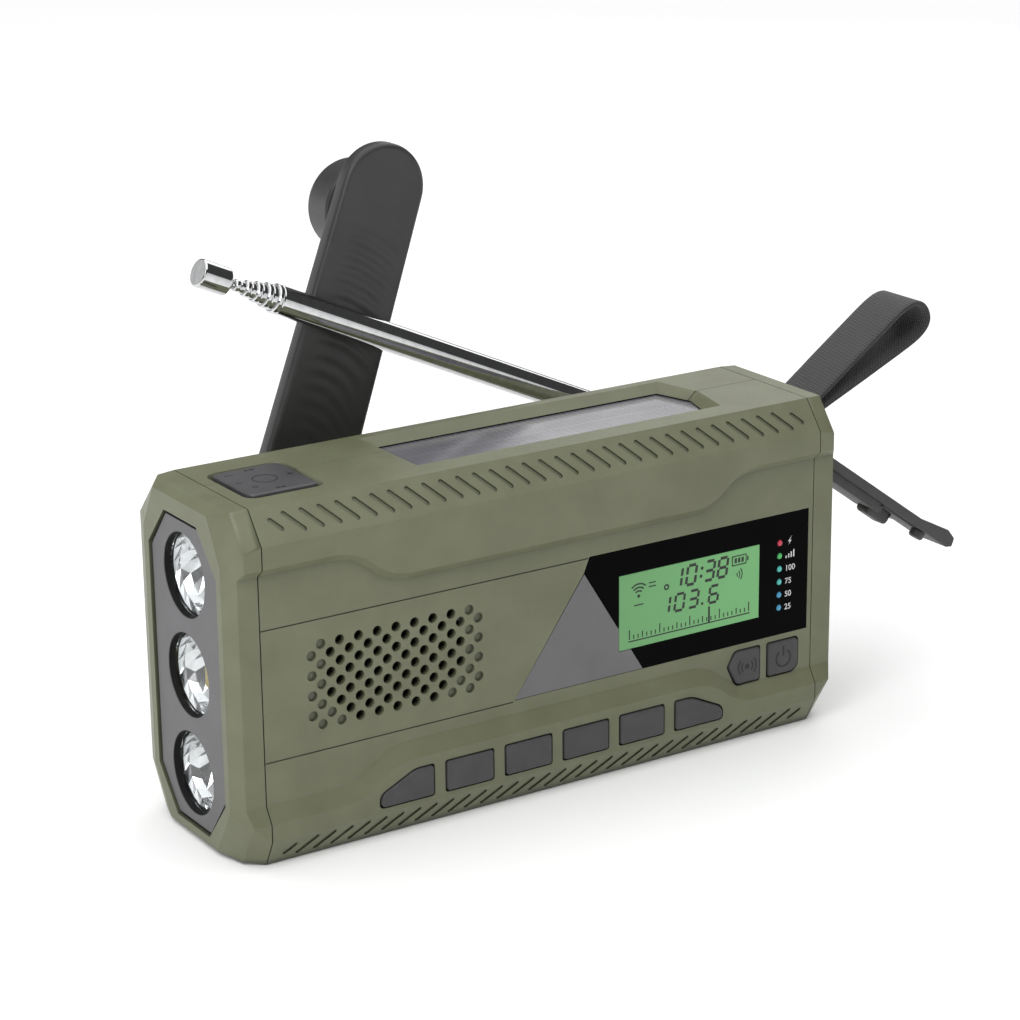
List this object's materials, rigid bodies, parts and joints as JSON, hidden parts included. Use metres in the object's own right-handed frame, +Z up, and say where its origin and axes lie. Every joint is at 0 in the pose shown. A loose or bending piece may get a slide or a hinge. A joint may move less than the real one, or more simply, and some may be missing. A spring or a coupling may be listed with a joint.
{
  "type": "hand-crank emergency radio",
  "caption": "Hand-crank emergency radio with end torch, display, keys, solar top, telescopic aerial, folding crank, socket cover and wrist strap.",
  "frame": {"origin": "centre of the case footprint on the surface it stands on", "axes": "+X along the case from the torch end to the socket end, front panel faces -Y, +Z up"},
  "size_m": [0.209, 0.0684, 0.1421],
  "materials": {
    "case_green": "fine textured",
    "dark_rubber": "matte",
    "dark_plastic": "satin",
    "bezel_grey": "satin",
    "gloss_black": "glossy",
    "gloss_grey": "glossy",
    "lcd_green": "satin",
    "lamp_plastic": "glossy",
    "board_green": "satin",
    "speaker_steel": "satin",
    "paper_cone": "matte",
    "magnet_black": "satin",
    "solar_glass": "glossy",
    "clear_lens": "polished",
    "mirror_cup": "polished",
    "led_dome": "glossy",
    "floodlight_yellow": "satin",
    "cell_wrap": "glossy",
    "steel": "brushed",
    "chrome_tube": "polished",
    "gear_nylon": "satin",
    "webbing": "woven"
  },
  "bodies": {
    "case": {"front_shell": "case_green", "rear_shell": "case_green", "left_end_cap": "case_green", "right_end_cap": "case_green", "display_window": "gloss_black", "accent_panel": "gloss_grey", "lcd_module": "lcd_green", "indicator_leds": "lamp_plastic", "key_board": "board_green", "side_key_board": "board_green", "pad_board": "board_green", "speaker_frame": "speaker_steel", "speaker_cone": "paper_cone", "speaker_magnet": "magnet_black", "solar_panel": "solar_glass", "solar_tray": "dark_plastic", "torch_bezel": "bezel_grey", "torch_lens_upper": "clear_lens", "torch_lens_middle": "clear_lens", "torch_lens_lower": "clear_lens", "torch_reflectors": "mirror_cup", "torch_leds": "led_dome", "torch_floodlight": "floodlight_yellow", "torch_board": "board_green", "main_board": "board_green", "battery_cell": "cell_wrap", "battery_cradle": "dark_plastic", "usb_socket": "steel", "audio_jack": "dark_plastic", "case_screws": "steel", "dynamo": "magnet_black", "gear_plate": "steel", "strap_bar": "steel", "flap_pin": "steel"},
    "crank_hub_body": {"crank_hub": "dark_plastic", "fold_pin": "steel", "drive_gear": "gear_nylon"},
    "crank_arm_body": {"crank_arm": "dark_plastic", "knob_stud": "steel"},
    "crank_knob_body": {"crank_knob": "dark_plastic"},
    "dynamo_rotor": {"dynamo_pinion": "gear_nylon"},
    "aerial_base": {"aerial_knuckle": "dark_plastic", "aerial_tube": "chrome_tube"},
    "aerial_1": {"aerial_section_1": "chrome_tube"},
    "aerial_2": {"aerial_section_2": "chrome_tube"},
    "aerial_3": {"aerial_section_3": "chrome_tube"},
    "aerial_4": {"aerial_section_4": "chrome_tube"},
    "aerial_5": {"aerial_rod": "chrome_tube", "aerial_tip": "chrome_tube"},
    "strap": {"wrist_strap": "webbing"},
    "cover": {"port_cover": "dark_rubber"},
    "pad": {"control_pad": "dark_rubber"},
    "key_1": {"function_key_1": "dark_rubber"},
    "key_2": {"function_key_2": "dark_rubber"},
    "key_3": {"function_key_3": "dark_rubber"},
    "key_4": {"function_key_4": "dark_rubber"},
    "key_5": {"function_key_5": "dark_rubber"},
    "key_6": {"function_key_6": "dark_rubber"},
    "alarm": {"alarm_key": "dark_rubber"},
    "power": {"power_key": "dark_rubber"}
  },
  "joints": [
    {"name": "crank_spin", "type": "hinge", "parent": "case", "child": "crank_hub_body", "pos_m": [-0.0428, 0, 0.04], "axis": [0, 1, 0], "continuous": true},
    {"name": "crank_fold", "type": "hinge", "parent": "crank_hub_body", "child": "crank_arm_body", "pos_m": [-0.039, 0.0271, 0.05085], "axis": [-0.9438, 0, 0.3305], "range_deg": [0, 155]},
    {"name": "knob_spin", "type": "hinge", "parent": "crank_arm_body", "child": "crank_knob_body", "pos_m": [-0.01256, 0.04, 0.12636], "axis": [0, 1, 0], "continuous": true},
    {"name": "dynamo_spin", "type": "hinge", "parent": "case", "child": "dynamo_rotor", "pos_m": [-0.0428, 0.01, 0.05875], "axis": [0, 1, 0], "continuous": true},
    {"name": "aerial_swing", "type": "hinge", "parent": "case", "child": "aerial_base", "pos_m": [0.0634, 0.0252, 0.0635], "axis": [0, 1, 0], "range_deg": [-24.5, 90]},
    {"name": "aerial_slide_1", "type": "slide", "parent": "aerial_base", "child": "aerial_1", "axis": [-0.91, 0, 0.4147], "range_m": [0, 0.085]},
    {"name": "aerial_slide_2", "type": "slide", "parent": "aerial_1", "child": "aerial_2", "axis": [-0.91, 0, 0.4147], "range_m": [0, 0.085]},
    {"name": "aerial_slide_3", "type": "slide", "parent": "aerial_2", "child": "aerial_3", "axis": [-0.91, 0, 0.4147], "range_m": [0, 0.085]},
    {"name": "aerial_slide_4", "type": "slide", "parent": "aerial_3", "child": "aerial_4", "axis": [-0.91, 0, 0.4147], "range_m": [0, 0.085]},
    {"name": "aerial_slide_5", "type": "slide", "parent": "aerial_4", "child": "aerial_5", "axis": [-0.91, 0, 0.4147], "range_m": [0, 0.085]},
    {"name": "strap_swing", "type": "hinge", "parent": "case", "child": "strap", "pos_m": [0.079, 0.0081, 0.0617], "axis": [0, 1, 0], "range_deg": [-12, 65]},
    {"name": "cover_hinge", "type": "hinge", "parent": "case", "child": "cover", "pos_m": [0.08, -0.007, 0.0646], "axis": [0, 1, 0], "range_deg": [-60, 54]},
    {"name": "pad_press", "type": "slide", "parent": "case", "child": "pad", "axis": [0, 0, -1], "range_m": [0, 0.0006], "stiffness_N_per_m": 900, "springref_m": -0.0004},
    {"name": "key_1_press", "type": "slide", "parent": "case", "child": "key_1", "axis": [0, 1, 0], "range_m": [0, 0.0007], "stiffness_N_per_m": 900, "springref_m": -0.0004},
    {"name": "key_2_press", "type": "slide", "parent": "case", "child": "key_2", "axis": [0, 1, 0], "range_m": [0, 0.0007], "stiffness_N_per_m": 900, "springref_m": -0.0004},
    {"name": "key_3_press", "type": "slide", "parent": "case", "child": "key_3", "axis": [0, 1, 0], "range_m": [0, 0.0007], "stiffness_N_per_m": 900, "springref_m": -0.0004},
    {"name": "key_4_press", "type": "slide", "parent": "case", "child": "key_4", "axis": [0, 1, 0], "range_m": [0, 0.0007], "stiffness_N_per_m": 900, "springref_m": -0.0004},
    {"name": "key_5_press", "type": "slide", "parent": "case", "child": "key_5", "axis": [0, 1, 0], "range_m": [0, 0.0007], "stiffness_N_per_m": 900, "springref_m": -0.0004},
    {"name": "key_6_press", "type": "slide", "parent": "case", "child": "key_6", "axis": [0, 1, 0], "range_m": [0, 0.0007], "stiffness_N_per_m": 900, "springref_m": -0.0004},
    {"name": "alarm_press", "type": "slide", "parent": "case", "child": "alarm", "axis": [0, 1, 0], "range_m": [0, 0.0007], "stiffness_N_per_m": 900, "springref_m": -0.0004},
    {"name": "power_press", "type": "slide", "parent": "case", "child": "power", "axis": [0, 1, 0], "range_m": [0, 0.0007], "stiffness_N_per_m": 900, "springref_m": -0.0004}
  ],
  "couplings": [
    {"joint": "dynamo_spin", "follows": "crank_spin", "ratio": -4}
  ]
}
